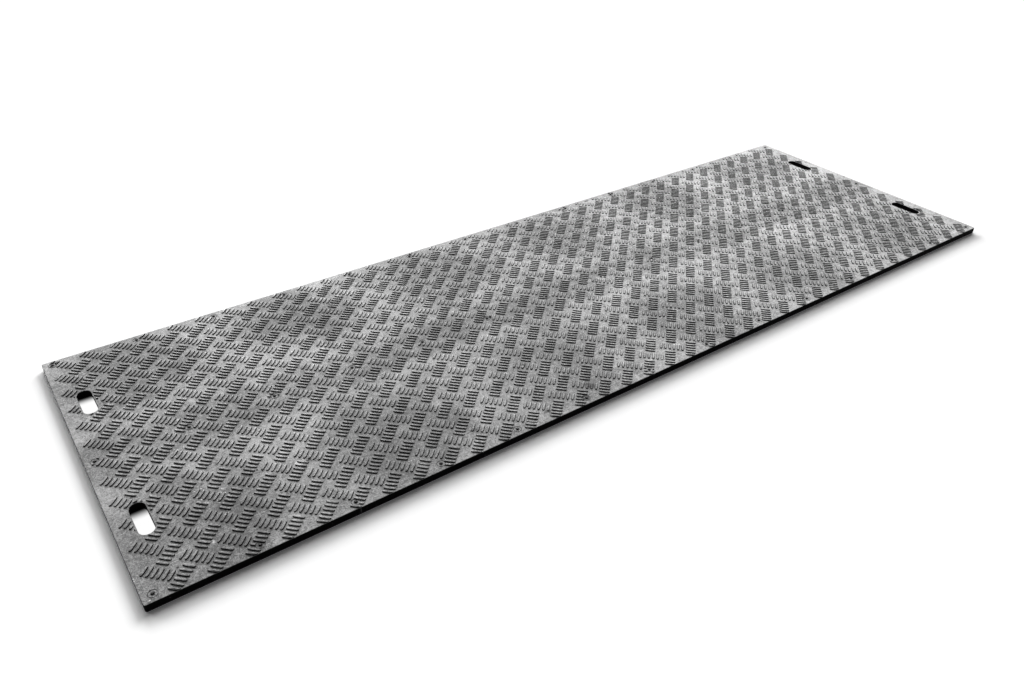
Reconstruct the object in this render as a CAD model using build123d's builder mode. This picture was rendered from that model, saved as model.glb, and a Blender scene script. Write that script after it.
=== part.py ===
import os

from build123d import *

# Ground protection mat: one thick sheet of recycled polyethylene, pressed in a mould.
# The mat lies flat. X is its length, Y its width, and the underside is at Z = 0.
# The origin is the middle of the underside.
# Sizes are in millimetres.

# Plate
mat_length = 3000.0
mat_width = 1000.0
plate_thickness = 20.0
corner_radius = 5.0  # the four upright corners
tread_edge_radius = 1.5  # soft edge that the mould leaves round the tread side
underside_chamfer = 1.0  # trimmed edge round the underside

# Hand holes, one pair near each end, long across the mat
hand_hole_width = 37.0
hand_hole_length = 111.0
hand_hole_end_distance = 65.0  # from the end of the mat to the middle of a hole
hand_hole_spacing = 506.0  # between the two holes of a pair
hand_hole_lip = 0.8  # edge break on both faces

# Screw imprints: the tread plate of the mould is held by rows of screws.
# The plastic fills the socket of each screw head and leaves a small tapered pip.
# A pip is as tall as the tread, so it sets the height over all.
tread_height = 3.0
imprint_columns = 14
imprint_rows = 3
imprint_end_distance = 24.5  # from the end of the mat to the first column
imprint_side_distance = 22.5  # from the long side to the outer row
pip_base_diameter = 7.0
pip_draft_angle = 22.0

# Places worked out from the sizes above
hand_hole_columns_apart = mat_length - 2 * hand_hole_end_distance
imprint_columns_apart = (mat_length - 2 * imprint_end_distance) / (imprint_columns - 1)
imprint_rows_apart = (mat_width - 2 * imprint_side_distance) / (imprint_rows - 1)

with BuildPart() as mat:
    # Plate
    with BuildSketch():
        RectangleRounded(mat_length, mat_width, corner_radius)
    extrude(amount=plate_thickness)
    fillet(mat.faces().sort_by(Axis.Z)[-1].edges(), radius=tread_edge_radius)
    chamfer(mat.faces().sort_by(Axis.Z)[0].edges(), length=underside_chamfer)

    # Hand holes, right through
    with BuildSketch():
        with GridLocations(hand_hole_columns_apart, hand_hole_spacing, 2, 2):
            SlotOverall(hand_hole_length, hand_hole_width, rotation=90)
    extrude(amount=plate_thickness, mode=Mode.SUBTRACT)
    tread_face = mat.faces().sort_by(Axis.Z)[-1]
    underside = mat.faces().sort_by(Axis.Z)[0]
    hole_rims = [
        edge
        for face in (tread_face, underside)
        for wire in face.inner_wires()
        for edge in wire.edges()
    ]
    chamfer(hole_rims, length=hand_hole_lip)

    # Pips of the screw imprints
    with BuildSketch(Plane.XY.offset(plate_thickness)):
        with GridLocations(imprint_columns_apart, imprint_rows_apart, imprint_columns, imprint_rows):
            Circle(pip_base_diameter / 2)
    extrude(amount=tread_height, taper=pip_draft_angle)

mat.part.label = "mat"
os.makedirs("parts", exist_ok=True)
export_step(mat.part, "parts/mat.step")
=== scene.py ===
import math
import random

import bmesh
import bpy
from mathutils import Matrix, Vector


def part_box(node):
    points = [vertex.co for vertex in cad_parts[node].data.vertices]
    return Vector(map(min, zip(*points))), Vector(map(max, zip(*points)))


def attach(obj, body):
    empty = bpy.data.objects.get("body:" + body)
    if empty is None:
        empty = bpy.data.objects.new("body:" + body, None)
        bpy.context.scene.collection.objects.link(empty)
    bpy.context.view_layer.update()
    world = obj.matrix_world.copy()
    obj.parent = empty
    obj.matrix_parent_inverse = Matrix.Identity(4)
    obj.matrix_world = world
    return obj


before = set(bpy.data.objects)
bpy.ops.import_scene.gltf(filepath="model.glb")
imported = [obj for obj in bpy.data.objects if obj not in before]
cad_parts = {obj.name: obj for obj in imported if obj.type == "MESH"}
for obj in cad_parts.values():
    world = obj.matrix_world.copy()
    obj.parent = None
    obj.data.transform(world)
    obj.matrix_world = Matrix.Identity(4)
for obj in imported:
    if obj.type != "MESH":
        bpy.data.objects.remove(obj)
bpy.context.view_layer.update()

MM = 0.001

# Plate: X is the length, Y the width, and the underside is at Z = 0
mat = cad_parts["mat"]
mat_low, mat_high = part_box("mat")
mat_length = mat_high.x - mat_low.x
mat_width = mat_high.y - mat_low.y

# Tread: two families of six slanted bars each, in a square lattice.
# Bars of the rising family climb from left to right as seen from above, and the others fall.
imprint_pip_height = 3.0 * MM
plate_top = mat_high.z - imprint_pip_height
tread_pitch = 81.72 * MM
tread_columns = 36
tread_rows = 12
bars_in_group = 6
bar_spacing = 12.4 * MM
bar_length = 30.4 * MM
bar_height = 2.3 * MM
bar_foot_width = 8.4 * MM
bar_draft = 1.4 * MM  # how far a flank leans in over the height of a bar
bar_edge_radius = 0.6 * MM
bar_fullness = 3.5  # power of the outline: 2 is an ellipse, and a high power nearly a rectangle
bar_sink = 0.5 * MM  # how deep the foot of a bar goes into the plate
bar_corners = 16
same_end = 0.1 * MM  # a stretch that ends this close to the end of a bar keeps that end
first_rising_centre = Vector((mat_low.x + 47.8 * MM, mat_low.y + 68.9 * MM))
first_falling_centre = first_rising_centre + Vector((38.2 * MM, -38.5 * MM))

# Unevenness of the pressed bars, as shares of their size
length_spread = 0.012
width_spread = 0.03
height_spread = 0.05
turn_spread = 0.7  # degrees
worn_share = 0.02  # one bar in fifty is worn low
worn_height = (0.45, 0.7)
rubbed_highlight_from = 1.4 * MM  # above the plate, where the paler top of a bar begins: partly rubbed plastic, partly a painted highlight
rubbed_highlight_full = 1.9 * MM

# Where the tread is interrupted
hand_hole_end_distance = 65.0 * MM
hand_hole_spacing = 506.0 * MM
hand_hole_width = 37.0 * MM
hand_hole_length = 111.0 * MM
hand_hole_margin = 3.5 * MM  # between a hand hole and the tread, which is cut along its rim
shortest_bar = 4.0 * MM  # a shorter stretch beside an imprint is left out
front_margin = 1.6 * MM  # the tread is trimmed with the plate on three sides and stops short of the back
back_margin = 5.0 * MM

# The press has two rows of round heating fields and one channel along the middle.
# The plastic stays darker there.
field_spacing = 510.0 * MM
first_field = mat_low.x + 170.0 * MM
field_row = 330.0 * MM  # from the middle of the mat
field_radius = (110.0 * MM, 240.0 * MM)  # where a field begins to fade, and where it ends
channel_half_width = (45.0 * MM, 105.0 * MM)  # likewise
channel_paleness = 0.1  # 0 would make the channel as dark as the fields
field_waviness = 200.0 * MM  # how far the rims stray
press_mark_strength = 0.13

# Large uneven patches: place from the front left corner, and radius, in mm
pale_patches = [((600, 615), 190), ((2360, 395), 110), ((1600, 440), 100), ((420, 330), 120)]
dark_patches = [
    ((280, 890), 150), ((690, 800), 140), ((1290, 550), 90), ((1660, 860), 120), ((2230, 860), 120),
    ((220, 150), 150), ((610, 110), 90), ((1850, 220), 80), ((2780, 490), 150), ((2620, 110), 90),
    ((1060, 555), 150), ((1390, 560), 130), ((1880, 545), 140), ((840, 300), 110),
]
pale_patch_strength = 0.06
dark_patch_strength = 0.04

# Strengths of the even patterns, and the sums of all of them that are darkest and palest
cloud_strength = 0.48
mottling_strength = 0.85
grain_strength = 0.7
darkest_pattern = 0.90
palest_pattern = 1.34

# Scuffs and dirt that stand out: place from the front left corner, and radius, in mm
pale_scuffs = [
    ((120, 397), 13), ((172, 89), 7), ((236, 543), 6), ((297, 822), 7), ((316, 706), 7), ((425, 216), 14),
    ((1045, 236), 7), ((1102, 235), 7), ((1610, 492), 20), ((2890, 733), 8),
]
dark_dirt = [
    ((24, 973), 12), ((253, 26), 10), ((450, 214), 10), ((1158, 506), 8), ((1160, 24), 12), ((1200, 60), 18),
    ((1379, 499), 9), ((2518, 502), 12),
]

front_nick = mat_low.x + 480.0 * MM  # a pale nick, upright in the front side
front_nick_width = 3.0 * MM
front_side_depth = 1.0 * MM  # everything closer than this to the front is the front side

# Each piece has the material of the top first, and then that of the sides, hole walls and flanks
top_slot, edge_slot = 0, 1
steepest_top = 0.7  # faces whose normal rises less than this are sides, walls or flanks

# Screw imprints: a thin ring left by the gap round each screw head of the mould
imprint_columns = 14
imprint_rows = 3
imprint_end_distance = 24.5 * MM
imprint_side_distance = 22.5 * MM
imprint_ring_diameter = 20.5 * MM
imprint_ring_width = 1.6 * MM
imprint_ring_height = 0.7 * MM
imprint_ring_corners = 24
imprint_spacing_x = (mat_length - 2 * imprint_end_distance) / (imprint_columns - 1)
imprint_spacing_y = (mat_width - 2 * imprint_side_distance) / (imprint_rows - 1)

# View of the photograph
camera_place = Vector((-1.5485, -1.8127, 1.4123))
camera_heading = math.radians(35.714)  # from +Y towards +X
camera_down = math.radians(34.112)
camera_roll = math.radians(0.776)
camera_lens = 29.768  # mm
sensor_width = 36.0  # mm

# Light: a row of broad soft lamps low behind the mat, and a weak even sky.
# A lamp has its share of the light on the floor, its height, its heading from +Y towards +X, and its spread.
floor_light = math.pi  # light on the floor at which a colour renders as it is written
sky_share = 0.12
lamps = {
    "far_right_lamp": (0.34, math.radians(27), math.radians(57), math.radians(36)),
    "right_lamp": (0.13, math.radians(25), math.radians(42), math.radians(25)),
    "middle_lamp": (0.30, math.radians(19), math.radians(12), math.radians(25)),
    "left_lamp": (0.11, math.radians(16), math.radians(-25), math.radians(25)),
}
hole_shadow_start = 3 * MM  # from the back wall of a hand hole to the end of its full painted shadow
hole_shadow_end = 37 * MM
hole_light_margin = 1 * MM

floor_size = 40.0
floor_gap = 0.2 * MM  # below the underside, so that the two faces don't meet
floor_grey = 0.6  # as the light meets it
floor_seen = 1.1  # as the eye sees it: a little over 1, so that the lit floor is white all over

randomness = random.Random(5)


def linear(hex_colour):
    """Linear red, green, blue and alpha of an sRGB hex colour."""
    channels = [int(hex_colour[i:i + 2], 16) / 255 for i in (0, 2, 4)]
    return [c / 12.92 if c <= 0.04045 else ((c + 0.055) / 1.055) ** 2.4 for c in channels] + [1.0]


def add_node(tree, kind, settings=None, links=None):
    """Adds a node. Settings are attributes by name, or input values by name or number. Links give the output
    socket for an input, by its name or number."""
    node = tree.nodes.new(kind)
    for name, value in (settings or {}).items():
        if isinstance(name, str) and hasattr(node, name):
            setattr(node, name, value)
        else:
            node.inputs[name].default_value = value
    for name, socket in (links or {}).items():
        tree.links.new(socket, node.inputs[name])
    return node


def new_material(name):
    """An empty material and its node tree."""
    material = bpy.data.materials.new(name)
    material.use_nodes = True
    material.node_tree.nodes.clear()
    return material, material.node_tree


def finished(bm, name, materials):
    """Turns a bmesh into a piece that rides on the mat."""
    mesh = bpy.data.meshes.new(name)
    bm.to_mesh(mesh)
    bm.free()
    for material in materials:
        mesh.materials.append(material)
    piece = bpy.data.objects.new(name, mesh)
    bpy.context.scene.collection.objects.link(piece)
    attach(piece, "root")


def spots(tree, place, places, pattern=None):
    """Round spots with soft rims, filled with a pattern if one is given. Places and radii are in mm, from the
    front left corner."""
    spotted = None
    for (x, y), radius in places:
        middle = (mat_low.x + x * MM, mat_low.y + y * MM, plate_top)
        distance = add_node(tree, "ShaderNodeVectorMath", {"operation": "DISTANCE", 1: middle}, {0: place})
        spot = add_node(tree, "ShaderNodeMapRange", {"From Min": radius * MM, "From Max": radius * MM / 2},
                        {"Value": distance.outputs["Value"]}).outputs["Result"]
        if spotted is not None:
            spot = add_node(tree, "ShaderNodeMath", {"operation": "MAXIMUM"},
                            {0: spot, 1: spotted}).outputs[0]
        spotted = spot
    if pattern is not None:
        spotted = add_node(tree, "ShaderNodeMath", {"operation": "MULTIPLY"},
                           {0: spotted, 1: pattern}).outputs[0]
    return spotted


def distance_to_nearest(tree, place, first, spacing):
    """Distance, as seen from above, to the nearest place of a lattice with this first place and spacing."""
    half = (spacing[0] / 2, spacing[1] / 2, 1.0)
    from_first = add_node(tree, "ShaderNodeVectorMath", {"operation": "SUBTRACT", 1: (*first, 0)}, {0: place})
    from_nearest = add_node(tree, "ShaderNodeVectorMath",
                            {"operation": "WRAP", 1: half, 2: tuple(-size for size in half)},
                            {0: from_first.outputs["Vector"]})
    flat = add_node(tree, "ShaderNodeVectorMath", {"operation": "MULTIPLY", 1: (1, 1, 0)},
                    {0: from_nearest.outputs["Vector"]})
    distance = add_node(tree, "ShaderNodeVectorMath", {"operation": "LENGTH"}, {0: flat.outputs["Vector"]})
    return distance.outputs["Value"]


def weighted_sum(tree, terms):
    """The sum of some patterns, each times its weight."""
    total = None
    for weight, pattern in terms:
        links = {0: pattern} if total is None else {0: pattern, 2: total}
        total = add_node(tree, "ShaderNodeMath", {"operation": "MULTIPLY_ADD", 1: weight, 2: 0.0},
                         links).outputs[0]
    return total


def press_marks(tree, place, clouds):
    """Heating fields and channel of the press: 0 on them and 1 off them, with rims as wavy as the clouds."""
    parts = add_node(tree, "ShaderNodeSeparateXYZ", links={"Vector": place})
    from_middle = add_node(tree, "ShaderNodeMath", {"operation": "ABSOLUTE"}, {0: parts.outputs["Y"]})
    folded = add_node(tree, "ShaderNodeCombineXYZ",
                      links={"X": parts.outputs["X"], "Y": from_middle.outputs[0]})
    wavy = add_node(tree, "ShaderNodeVectorMath",
                    {"operation": "MULTIPLY_ADD", 1: (field_waviness, field_waviness, 0)},
                    {0: clouds.outputs["Color"], 2: folded.outputs["Vector"]})
    mean_shift = field_waviness / 2
    unrepeated = 2.0  # a spacing wider than the mat
    from_field = distance_to_nearest(tree, wavy.outputs["Vector"],
                                     (first_field + mean_shift, field_row + mean_shift),
                                     (field_spacing, unrepeated))
    off_field = add_node(tree, "ShaderNodeMapRange",
                         {"interpolation_type": "SMOOTHSTEP", "From Min": field_radius[0],
                          "From Max": field_radius[1]}, {"Value": from_field})
    wavy_parts = add_node(tree, "ShaderNodeSeparateXYZ", links={"Vector": wavy.outputs["Vector"]})
    off_channel = add_node(tree, "ShaderNodeMapRange",
                           {"interpolation_type": "SMOOTHSTEP", "To Min": channel_paleness,
                            "From Min": channel_half_width[0] + mean_shift,
                            "From Max": channel_half_width[1] + mean_shift},
                           {"Value": wavy_parts.outputs["Y"]})
    marks = add_node(tree, "ShaderNodeMath", {"operation": "MULTIPLY"},
                     {0: off_field.outputs["Result"], 1: off_channel.outputs["Result"]})
    return marks.outputs[0]


def bloom_brightness(tree, place, grain):
    """How pale the bloom is, from 0 to 1."""
    # Clouds about 140 mm across, from uneven cooling of the mixed plastic
    clouds = add_node(tree, "ShaderNodeTexNoise",
                      {"Scale": 7.0, "Detail": 6.0, "Roughness": 0.64, "Distortion": 0.8}, {"Vector": place})
    # Curly mottling about 12 mm across
    mottling = add_node(tree, "ShaderNodeTexNoise",
                        {"Scale": 75.0, "Detail": 5.0, "Roughness": 0.7, "Distortion": 1.2},
                        {"Vector": place})
    pattern = weighted_sum(tree, [
        (pale_patch_strength, spots(tree, place, pale_patches)),
        (-dark_patch_strength, spots(tree, place, dark_patches)),
        (press_mark_strength, press_marks(tree, place, clouds)),
        (cloud_strength, clouds.outputs["Fac"]),
        (mottling_strength, mottling.outputs["Fac"]),
        (grain_strength, grain.outputs["Fac"]),
    ])
    return add_node(tree, "ShaderNodeMapRange", {"From Min": darkest_pattern, "From Max": palest_pattern},
                    {"Value": pattern}).outputs["Result"]


def dirt_and_dark_pip_cover(tree, place, not_here):
    """Dark dirt in small smudges and crumbs and in the spots that stand out, and darker on and round the pip
    of each screw imprint and along its ring.
    """
    smudge_noise = add_node(tree, "ShaderNodeTexNoise", {"Scale": 22.0, "Detail": 5.0, "Roughness": 0.7},
                            {"Vector": place})
    smudges = add_node(tree, "ShaderNodeMapRange", {"From Min": 0.64, "From Max": 0.74},
                       {"Value": smudge_noise.outputs["Fac"]})
    # Crumbs 3 to 5 mm across, here and there
    crumb_cells = add_node(tree, "ShaderNodeTexVoronoi", {"Scale": 22.0}, {"Vector": place})
    crumbs = add_node(tree, "ShaderNodeMapRange", {"From Min": 0.085, "From Max": 0.05},
                      {"Value": crumb_cells.outputs["Distance"]})
    first_imprint = (mat_low.x + imprint_end_distance, mat_low.y + imprint_side_distance)
    from_pip = distance_to_nearest(tree, place, first_imprint, (imprint_spacing_x, imprint_spacing_y))
    # Darker on each pip and round its foot, and along each imprint ring
    round_pip = add_node(tree, "ShaderNodeMapRange", {"From Min": 6.5 * MM, "From Max": 4.5 * MM},
                         {"Value": from_pip})
    on_ring = add_node(tree, "ShaderNodeMath",
                       {"operation": "COMPARE", 1: imprint_ring_diameter / 2, 2: imprint_ring_width / 2},
                       {0: from_pip})
    pip_and_ring = add_node(tree, "ShaderNodeMath", {"operation": "MULTIPLY_ADD", 1: 0.7},
                            {0: on_ring.outputs[0], 2: round_pip.outputs["Result"]})
    cover = smudges.outputs["Result"]
    for more in (crumbs.outputs["Result"], pip_and_ring.outputs[0], spots(tree, place, dark_dirt, not_here)):
        cover = add_node(tree, "ShaderNodeMath", {"operation": "MAXIMUM"}, {0: cover, 1: more}).outputs[0]
    return cover


def dust_and_scuffs(tree, place, here):
    """Pale specks of dust and scuffed plastic in patches, and the scuffs that stand out."""
    speck_cells = add_node(tree, "ShaderNodeTexVoronoi", {"Scale": 130.0}, {"Vector": place})
    speck = add_node(tree, "ShaderNodeMapRange", {"From Min": 0.30, "From Max": 0.12},
                     {"Value": speck_cells.outputs["Distance"]})
    patch_noise = add_node(tree, "ShaderNodeTexNoise", {"Scale": 9.0, "Detail": 4.0, "Roughness": 0.7},
                           {"Vector": place})
    patch = add_node(tree, "ShaderNodeMapRange", {"From Min": 0.585, "From Max": 0.66},
                     {"Value": patch_noise.outputs["Fac"]})
    specks = add_node(tree, "ShaderNodeMath", {"operation": "MULTIPLY"},
                      {0: speck.outputs["Result"], 1: patch.outputs["Result"]})
    return add_node(tree, "ShaderNodeMath", {"operation": "MAXIMUM"},
                    {0: specks.outputs[0], 1: spots(tree, place, pale_scuffs, here)}).outputs[0]


def drag_marks(tree, place):
    """Pale marks 2 mm wide and up to 200 mm long, where loads were slid over the mat."""
    turned = add_node(tree, "ShaderNodeMapping", {"Rotation": (0, 0, math.radians(24)), "Scale": (7, 260, 1)},
                      {"Vector": place})
    drags = add_node(tree, "ShaderNodeTexNoise", {"Scale": 1.0, "Detail": 2.0},
                     {"Vector": turned.outputs["Vector"]})
    return add_node(tree, "ShaderNodeMapRange", {"From Min": 0.66, "From Max": 0.76, "To Max": 0.5},
                    {"Value": drags.outputs["Fac"]}).outputs["Result"]


def polyethylene():
    """Recycled polyethylene, pressed in a steel mould: black all through. The tread side has a grey bloom in
    clouds, a fine grain, pale specks, dark dirt and darker pips, and bar tops paler from rubbing and a
    painted highlight.
    The flanks of the tread and other steep faces lack them and stay black, which on the tread is partly
    painted shade."""
    material, tree = new_material("pressed_recycled_polyethylene")
    place = add_node(tree, "ShaderNodeTexCoord").outputs["Object"]
    height = add_node(tree, "ShaderNodeSeparateXYZ", links={"Vector": place}).outputs["Z"]
    normal = add_node(tree, "ShaderNodeNewGeometry").outputs["Normal"]
    upward = add_node(tree, "ShaderNodeSeparateXYZ", links={"Vector": normal}).outputs["Z"]
    # 1 on faces that face up, which take the grey bloom, and 0 on steeper faces, which stay black: on the
    # rounded edges of the tread bars that black is partly painted shade
    bloom_not_painted_shade = add_node(tree, "ShaderNodeMapRange", {"From Min": 0.78, "From Max": 0.96},
                       {"Value": upward}).outputs["Result"]

    # The real grain is well under a millimetre. It is drawn 3 mm across, so that it shows at this distance.
    grain = add_node(tree, "ShaderNodeTexNoise", {"Scale": 340.0, "Detail": 2.0, "Roughness": 0.7},
                     {"Vector": place})
    brightness = bloom_brightness(tree, place, grain)
    bloom_colour = add_node(tree, "ShaderNodeValToRGB", links={"Fac": brightness})
    bloom_colour.color_ramp.elements[0].color = linear("121212")
    bloom_colour.color_ramp.elements[1].color = linear("989898")
    bloom_colour.color_ramp.elements.new(0.25).color = linear("424242")
    bloom_colour.color_ramp.elements.new(0.55).color = linear("707070")

    # Spots of dirt and scuffs are broken up into flecks about 6 mm across
    broken = add_node(tree, "ShaderNodeTexNoise", {"Scale": 160.0, "Detail": 2.0}, {"Vector": place})
    here = add_node(tree, "ShaderNodeMapRange", {"From Min": 0.45, "From Max": 0.54, "To Max": 0.65},
                    {"Value": broken.outputs["Fac"]}).outputs["Result"]
    not_here = add_node(tree, "ShaderNodeMath", {"operation": "SUBTRACT", 0: 1.0}, {1: here}).outputs[0]
    dirt_and_dark_pips = dirt_and_dark_pip_cover(tree, place, not_here)
    # Paler tops of the bars: partly rubbed plastic, partly a painted highlight
    rubbed_highlight = add_node(tree, "ShaderNodeMapRange",
                      {"From Min": plate_top + rubbed_highlight_from, "From Max": plate_top + rubbed_highlight_full,
                       "To Max": 0.05},
                      {"Value": height}).outputs["Result"]
    layers = [
        (dirt_and_dark_pips, "101010"),
        (dust_and_scuffs(tree, place, here), "d8d8d8"),
        (drag_marks(tree, place), "c8c8c8"),
        (rubbed_highlight, "c0c0c0"),
    ]
    top_colour = bloom_colour.outputs["Color"]
    for cover, hex_colour in layers:
        top_colour = add_node(tree, "ShaderNodeMix", {"data_type": "RGBA", 7: linear(hex_colour)},
                              {0: cover, 6: top_colour}).outputs[2]
    colour = add_node(tree, "ShaderNodeMix", {"data_type": "RGBA", 6: linear("0b0b0b")},
                      {0: bloom_not_painted_shade, 7: top_colour})

    # The bloom has a finer surface than the dark plastic between its clouds, so it gleams more
    bloom_roughness = add_node(tree, "ShaderNodeMapRange", {"To Min": 0.66, "To Max": 0.50},
                               {"Value": brightness})
    dirt_and_dark_pip_roughness = add_node(tree, "ShaderNodeMapRange", {"To Max": 0.85},
                               {"Value": dirt_and_dark_pips, "To Min": bloom_roughness.outputs["Result"]})
    roughness = add_node(tree, "ShaderNodeMapRange", {"To Min": 0.32},
                         {"Value": bloom_not_painted_shade, "To Max": dirt_and_dark_pip_roughness.outputs["Result"]})
    bump = add_node(tree, "ShaderNodeBump", {"Strength": 0.35, "Distance": 0.6 * MM},
                    {"Height": grain.outputs["Fac"]})
    shader = add_node(tree, "ShaderNodeBsdfPrincipled", {"IOR": 1.5},
                      {"Base Color": colour.outputs[2], "Roughness": roughness.outputs["Result"],
                       "Normal": bump.outputs["Normal"]})
    add_node(tree, "ShaderNodeOutputMaterial", links={"Surface": shader.outputs["BSDF"]})
    return material


def trimmed_edge_and_flank_shade():
    """The same plastic where it was trimmed and drilled: a fine matt cut that drinks the light, with a few
    scuffs and one nick. The steep flanks of the tread have it too, and there its black is partly painted
    shade."""
    material, tree = new_material("trimmed_edge_and_painted_flank_shade")
    place = add_node(tree, "ShaderNodeTexCoord").outputs["Object"]
    scuffs = add_node(tree, "ShaderNodeTexNoise", {"Scale": 70.0, "Detail": 4.0, "Roughness": 0.7},
                      {"Vector": place})
    parts = add_node(tree, "ShaderNodeSeparateXYZ", links={"Vector": place})
    along = add_node(tree, "ShaderNodeMath", {"operation": "COMPARE", 1: front_nick, 2: front_nick_width / 2},
                     {0: parts.outputs["X"]})
    in_front = add_node(tree, "ShaderNodeMath", {"operation": "LESS_THAN", 1: mat_low.y + front_side_depth},
                        {0: parts.outputs["Y"]})
    nick = add_node(tree, "ShaderNodeMath", {"operation": "MULTIPLY"},
                    {0: along.outputs[0], 1: in_front.outputs[0]})
    nick_and_scuffs = add_node(tree, "ShaderNodeMath", {"operation": "MULTIPLY_ADD", 1: 0.25},
                               {0: nick.outputs[0], 2: scuffs.outputs["Fac"]})
    colour = add_node(tree, "ShaderNodeValToRGB", links={"Fac": nick_and_scuffs.outputs[0]})
    colour.color_ramp.elements[0].position = 0.62
    colour.color_ramp.elements[0].color = linear("050505")
    colour.color_ramp.elements[1].position = 0.74
    colour.color_ramp.elements[1].color = linear("4a4a4a")
    # The scored grain of the cut, drawn 3 mm apart so that it shows
    grain = add_node(tree, "ShaderNodeTexNoise", {"Scale": 330.0, "Detail": 2.0}, {"Vector": place})
    bump = add_node(tree, "ShaderNodeBump", {"Strength": 0.3, "Distance": 0.5 * MM},
                    {"Height": grain.outputs["Fac"]})
    shader = add_node(tree, "ShaderNodeBsdfPrincipled",
                      {"Roughness": 0.6, "IOR": 1.5, "Specular IOR Level": 0.02},
                      {"Base Color": colour.outputs["Color"], "Normal": bump.outputs["Normal"]})
    add_node(tree, "ShaderNodeOutputMaterial", links={"Surface": shader.outputs["BSDF"]})
    return material


def bar_shape():
    """One tread bar along X with its middle at the origin: a full outline with slightly bulging sides and
    blunt rounded ends, leaning flanks and a rounded top edge."""
    bm = bmesh.new()
    bmesh.ops.create_circle(bm, cap_ends=True, segments=bar_corners, radius=1.0)
    for vertex in bm.verts:
        x, y = (math.copysign(abs(c) ** (2 / bar_fullness), c) for c in vertex.co.xy)
        vertex.co = (x * bar_length / 2, y * bar_foot_width / 2, 0)
    bmesh.ops.translate(bm, vec=(0, 0, -bar_sink), verts=bm.verts)
    raised = bmesh.ops.extrude_face_region(bm, geom=bm.faces[:], use_keep_orig=True)
    top = [item for item in raised["geom"] if isinstance(item, bmesh.types.BMVert)]
    bmesh.ops.translate(bm, vec=(0, 0, bar_sink + bar_height), verts=top)
    length_kept = 1 - 2 * bar_draft / bar_length
    width_kept = 1 - 2 * bar_draft / bar_foot_width
    bmesh.ops.scale(bm, vec=(length_kept, width_kept, 1.0), verts=top)
    bmesh.ops.recalc_face_normals(bm, faces=bm.faces)
    rim = [edge for edge in bm.edges if all(v.co.z > bar_height / 2 for v in edge.verts)]
    bmesh.ops.bevel(bm, geom=rim, offset=bar_edge_radius, affect="EDGES", segments=2, profile=0.5,
                    material=-1)
    for face in bm.faces:
        face.smooth = face.normal.z > -0.5
        # Steep faces take the black edge material; on the flanks of a bar its black is partly painted shade
        face.material_index = edge_slot if abs(face.normal.z) < steepest_top else top_slot
    for edge in bm.edges:
        edge.smooth = any(v.co.z > 0 for v in edge.verts)
    mesh = bpy.data.meshes.new("bar_shape")
    bm.to_mesh(mesh)
    bm.free()
    return mesh


def imprint_centres():
    """Middles of the screw imprints, as in the plate's own pips."""
    return [
        Vector((mat_low.x + imprint_end_distance + imprint_spacing_x * column,
                mat_low.y + imprint_side_distance + imprint_spacing_y * row))
        for column in range(imprint_columns)
        for row in range(imprint_rows)
    ]


def hand_hole_centres():
    """Middles of the hand holes, as in the plate."""
    middle = (mat_low.y + mat_high.y) / 2
    return [
        Vector((end, middle + side * hand_hole_spacing / 2))
        for end in (mat_low.x + hand_hole_end_distance, mat_high.x - hand_hole_end_distance)
        for side in (-1, 1)
    ]


def clear_stretches(centre, direction):
    """The stretches of a bar's middle line between the screw imprints, as distances from its middle."""
    steps = 29  # an odd number, so that no cut runs through the middle corners of a bar
    stretches = []
    start = None
    for step in range(steps + 1):
        distance = bar_length * (step / steps - 0.5)
        point = centre + direction * distance
        clear = all((point - imprint).length >= imprint_ring_diameter / 2 for imprint in imprints)
        if clear and start is None:
            start = distance
        if start is not None and (not clear or step == steps):
            if distance - start > shortest_bar:
                stretches.append((start, distance))
            start = None
    return stretches


def hand_hole_cuts(centre, direction):
    """The plane that cuts a bar along the rim of the hand hole it runs into, as a place and an outward
    direction, or nothing."""
    straight = (hand_hole_length - hand_hole_width) / 2
    rim = hand_hole_width / 2 + hand_hole_margin
    half_steps = 15
    for hole in hand_holes:
        if (centre - hole).length < hand_hole_length:
            meetings = []
            for step in range(-half_steps, half_steps + 1):
                point = centre + direction * bar_length * step / (2 * half_steps)
                inside = hole + Vector((0, max(-straight, min(straight, point.y - hole.y))))
                meetings.append((point - inside, inside))
            if min(offset.length for offset, inside in meetings) < rim + bar_foot_width / 2:
                offset, inside = min(meetings, key=lambda meeting: abs(meeting[0].length - rim))
                away = offset.normalized()
                return [((inside + away * rim).to_3d(), -away.to_3d())]
    return []


def cut_off(bm, cuts):
    """Cuts off what lies past each plane, and closes the cut faces."""
    for place, outward in cuts:
        cut = bmesh.ops.bisect_plane(bm, geom=bm.verts[:] + bm.edges[:] + bm.faces[:], plane_co=place,
                                     plane_no=outward, clear_outer=True)
        edges = [item for item in cut["geom_cut"] if isinstance(item, bmesh.types.BMEdge)]
        if edges:
            bmesh.ops.holes_fill(bm, edges=edges)


def add_bar(bm, shape, turn, stretch, cuts):
    """Adds one bar: the given stretch of the shape, turned to its place and then cut by some planes."""
    bar = bmesh.new()
    bar.from_mesh(shape)
    ends = [(Vector((place, 0, 0)), Vector((side, 0, 0))) for place, side in zip(stretch, (-1, 1))]
    cut_off(bar, [end for end in ends if abs(end[0].x) < bar_length / 2 - same_end])
    bmesh.ops.transform(bar, matrix=turn, verts=bar.verts)
    cut_off(bar, cuts)
    if bar.verts:
        mesh = bpy.data.meshes.new("bar")
        bar.to_mesh(mesh)
        bm.from_mesh(mesh)
        bpy.data.meshes.remove(mesh)
    bar.free()


def bar_size():
    """The small unevenness of a pressed bar, as a scale matrix."""
    worn = randomness.random() < worn_share
    height = randomness.uniform(*worn_height) if worn else randomness.gauss(1.0, height_spread)
    length = randomness.gauss(1.0, length_spread)
    width = randomness.gauss(1.0, width_spread)
    return Matrix.Diagonal((length, width, height, 1.0))


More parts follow.
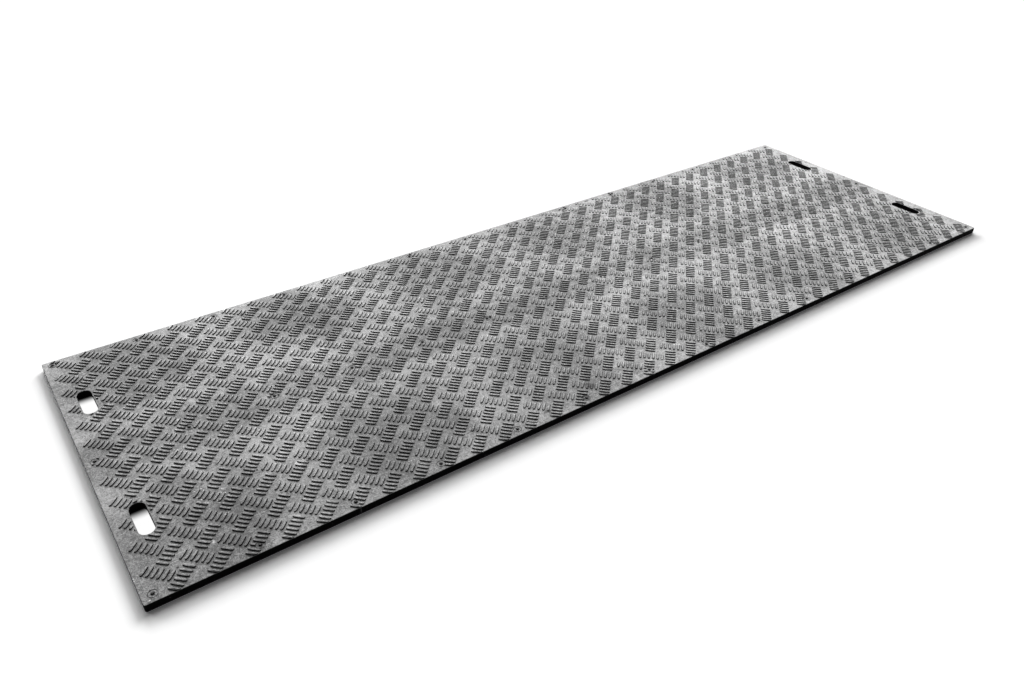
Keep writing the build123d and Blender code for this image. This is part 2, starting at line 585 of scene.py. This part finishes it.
def plate_cuts():
    """Planes that cut off what reaches past the plate's flat."""
    return [
        (Vector((mat_low.x + front_margin, 0, 0)), Vector((-1, 0, 0))),
        (Vector((mat_high.x - front_margin, 0, 0)), Vector((1, 0, 0))),
        (Vector((0, mat_low.y + front_margin, 0)), Vector((0, -1, 0))),
        (Vector((0, mat_high.y - back_margin, 0)), Vector((0, 1, 0))),
    ]


def tread_band(name, columns, shape, materials):
    """The tread bars of some columns of the lattice, as one piece."""
    bm = bmesh.new()
    for column in columns:
        for row in range(tread_rows):
            for first, angle in ((first_rising_centre, math.pi / 4), (first_falling_centre, -math.pi / 4)):
                group = first + Vector((column * tread_pitch, row * tread_pitch))
                along = Vector((math.cos(angle), math.sin(angle)))
                stacked = Vector((abs(along.y), -math.copysign(along.x, angle)))
                for number in range(bars_in_group):
                    centre = group + stacked * bar_spacing * (number - (bars_in_group - 1) / 2)
                    size = bar_size()
                    turn = (Matrix.Translation((centre.x, centre.y, plate_top))
                            @ Matrix.Rotation(angle + math.radians(randomness.gauss(0, turn_spread)), 4, "Z"))
                    for stretch in clear_stretches(centre, along):
                        add_bar(bm, shape, turn @ size, stretch, hand_hole_cuts(centre, along))
    cut_off(bm, plate_cuts())
    finished(bm, name, materials)


def imprint_rings(materials):
    """The thin raised rings of the screw imprints."""
    bm = bmesh.new()
    for centre in imprints:
        ring = bmesh.new()
        radius = imprint_ring_diameter / 2
        foot = plate_top - bar_sink
        corners = [
            ring.verts.new((radius - imprint_ring_width / 2, 0, foot)),
            ring.verts.new((radius + imprint_ring_width / 2, 0, foot)),
            ring.verts.new((radius, 0, plate_top + imprint_ring_height)),
        ]
        next_corners = corners[1:] + corners[:1]
        edges = [ring.edges.new(pair) for pair in zip(corners, next_corners)]
        bmesh.ops.spin(ring, geom=corners + edges, cent=(0, 0, 0), axis=(0, 0, 1), angle=math.tau,
                       steps=imprint_ring_corners, use_merge=True)
        bmesh.ops.remove_doubles(ring, verts=ring.verts, dist=0.01 * MM)
        bmesh.ops.recalc_face_normals(ring, faces=ring.faces)
        bmesh.ops.translate(ring, vec=(centre.x, centre.y, 0), verts=ring.verts)
        mesh = bpy.data.meshes.new("ring")
        ring.to_mesh(mesh)
        ring.free()
        bm.from_mesh(mesh)
        bpy.data.meshes.remove(mesh)
    finished(bm, "imprint_rings", materials)


def seen_or_mirrored(tree):
    """1 for a ray from the camera, in a mirror image or through clear plastic, and 0 where it only carries
    light."""
    rays = add_node(tree, "ShaderNodeLightPath")
    seen_or_glossy = add_node(tree, "ShaderNodeMath", {"operation": "MAXIMUM"},
                              {0: rays.outputs["Is Camera Ray"], 1: rays.outputs["Is Glossy Ray"]})
    seen = add_node(tree, "ShaderNodeMath", {"operation": "MAXIMUM"},
                    {0: seen_or_glossy.outputs[0], 1: rays.outputs["Is Transmission Ray"]})
    return seen.outputs[0]


def light_under_hand_holes(tree, ground, seen):
    """The ground, with its part under the hand holes painted white to the eye too, and a painted shadow only
    close to the back wall."""
    place = add_node(tree, "ShaderNodeTexCoord").outputs["Object"]
    parts = add_node(tree, "ShaderNodeSeparateXYZ", links={"Vector": place})
    from_middle_x = add_node(tree, "ShaderNodeMath", {"operation": "ABSOLUTE"}, {0: parts.outputs["X"]})
    from_middle_y = add_node(tree, "ShaderNodeMath", {"operation": "ABSOLUTE"}, {0: parts.outputs["Y"]})
    from_front_hole = add_node(tree, "ShaderNodeMath", {"operation": "ADD", 1: hand_hole_spacing / 2},
                               {0: parts.outputs["Y"]})
    from_hole = add_node(tree, "ShaderNodeMath",
                         {"operation": "WRAP", 1: hand_hole_spacing / 2, 2: -hand_hole_spacing / 2},
                         {0: from_front_hole.outputs[0]})
    in_hole_x = add_node(tree, "ShaderNodeMath",
                         {"operation": "COMPARE", 1: mat_length / 2 - hand_hole_end_distance,
                          2: hand_hole_width / 2 + hole_light_margin}, {0: from_middle_x.outputs[0]})
    in_hole_y = add_node(tree, "ShaderNodeMath",
                         {"operation": "COMPARE", 1: 0.0, 2: hand_hole_length / 2 + hole_light_margin},
                         {0: from_hole.outputs[0]})
    under_mat = add_node(tree, "ShaderNodeMath", {"operation": "LESS_THAN", 1: mat_width / 2},
                         {0: from_middle_y.outputs[0]})
    shown = seen
    for inside in (in_hole_x, in_hole_y, under_mat):
        shown = add_node(tree, "ShaderNodeMath", {"operation": "MULTIPLY"},
                         {0: shown, 1: inside.outputs[0]}).outputs[0]
    back_wall = hand_hole_length / 2
    brightness = add_node(tree, "ShaderNodeMapRange",
                          {"interpolation_type": "SMOOTHSTEP", "From Min": back_wall - hole_shadow_end,
                           "From Max": back_wall - hole_shadow_start, "To Min": 1.0, "To Max": 0.0},
                          {"Value": from_hole.outputs[0]})
    # Painted light under the hand holes, with a painted shadow by the back wall
    white = add_node(tree, "ShaderNodeEmission", links={"Strength": brightness.outputs["Result"]})
    shader = add_node(tree, "ShaderNodeMixShader",
                      links={0: shown, 1: ground.outputs["BSDF"], 2: white.outputs["Emission"]})
    return shader.outputs["Shader"]


def studio_floor():
    """A pale floor, white to the eye, that keeps the mat's shadow."""
    material, tree = new_material("studio_floor")
    seen = seen_or_mirrored(tree)
    colour = add_node(tree, "ShaderNodeMix",
                      {"data_type": "RGBA", 6: (floor_grey, floor_grey, floor_grey, 1.0),
                       7: (floor_seen, floor_seen, floor_seen, 1.0)}, {0: seen})
    ground = add_node(tree, "ShaderNodeBsdfDiffuse", links={"Color": colour.outputs[2]})
    add_node(tree, "ShaderNodeOutputMaterial", links={"Surface": light_under_hand_holes(tree, ground, seen)})
    bm = bmesh.new()
    bmesh.ops.create_grid(bm, x_segments=1, y_segments=1, size=floor_size)
    bmesh.ops.translate(bm, vec=(0, 0, -floor_gap), verts=bm.verts)
    mesh = bpy.data.meshes.new("floor")
    bm.to_mesh(mesh)
    bm.free()
    mesh.materials.append(material)
    floor = bpy.data.objects.new("floor", mesh)
    bpy.context.scene.collection.objects.link(floor)


def lamp(name, share, height, heading, spread):
    """A broad distant lamp that gives this share of the light on the floor."""
    data = bpy.data.lights.new(name, "SUN")
    data.energy = floor_light * share / math.sin(height)
    data.angle = spread
    obj = bpy.data.objects.new(name, data)
    bpy.context.scene.collection.objects.link(obj)
    obj.rotation_euler = (math.pi / 2 - height, 0, math.pi - heading)


def sky():
    """White where it is seen or mirrored, and otherwise a weak even light."""
    world = bpy.data.worlds.new("sky")
    bpy.context.scene.world = world
    world.use_nodes = True
    tree = world.node_tree
    tree.nodes.clear()
    strength = add_node(tree, "ShaderNodeMapRange", {"To Min": sky_share, "To Max": 1.0},
                        {"Value": seen_or_mirrored(tree)})
    light = add_node(tree, "ShaderNodeBackground", {"Color": (1.0, 1.0, 1.0, 1.0)},
                     {"Strength": strength.outputs["Result"]})
    add_node(tree, "ShaderNodeOutputWorld", links={"Surface": light.outputs["Background"]})


def view_camera():
    """The camera, at the photograph's viewing angle."""
    data = bpy.data.cameras.new("view")
    data.sensor_width = sensor_width
    data.lens = camera_lens
    camera = bpy.data.objects.new("view", data)
    bpy.context.scene.collection.objects.link(camera)
    camera.matrix_world = (
        Matrix.Translation(camera_place)
        @ Matrix.Rotation(-camera_heading, 4, "Z")
        @ Matrix.Rotation(math.pi / 2 - camera_down, 4, "X")
        @ Matrix.Rotation(camera_roll, 4, "Z")
    )
    bpy.context.scene.camera = camera


view_camera()
sky()
for lamp_name, settings in lamps.items():
    lamp(lamp_name, *settings)
studio_floor()

top_and_edge = [polyethylene(), trimmed_edge_and_flank_shade()]
mat.data.materials.clear()
for material in top_and_edge:
    mat.data.materials.append(material)
for face in mat.data.polygons:
    face.material_index = edge_slot if abs(face.normal.z) < steepest_top else top_slot

imprints = imprint_centres()
hand_holes = hand_hole_centres()
bar = bar_shape()
band_names = ["tread_left", "tread_middle_left", "tread_middle_right", "tread_right"]
columns_in_band = tread_columns // len(band_names)
for number, band_name in enumerate(band_names):
    first_column = number * columns_in_band
    tread_band(band_name, range(first_column, first_column + columns_in_band), bar, top_and_edge)
bpy.data.meshes.remove(bar)
imprint_rings(top_and_edge)

bpy.context.scene.view_settings.view_transform = "Standard"
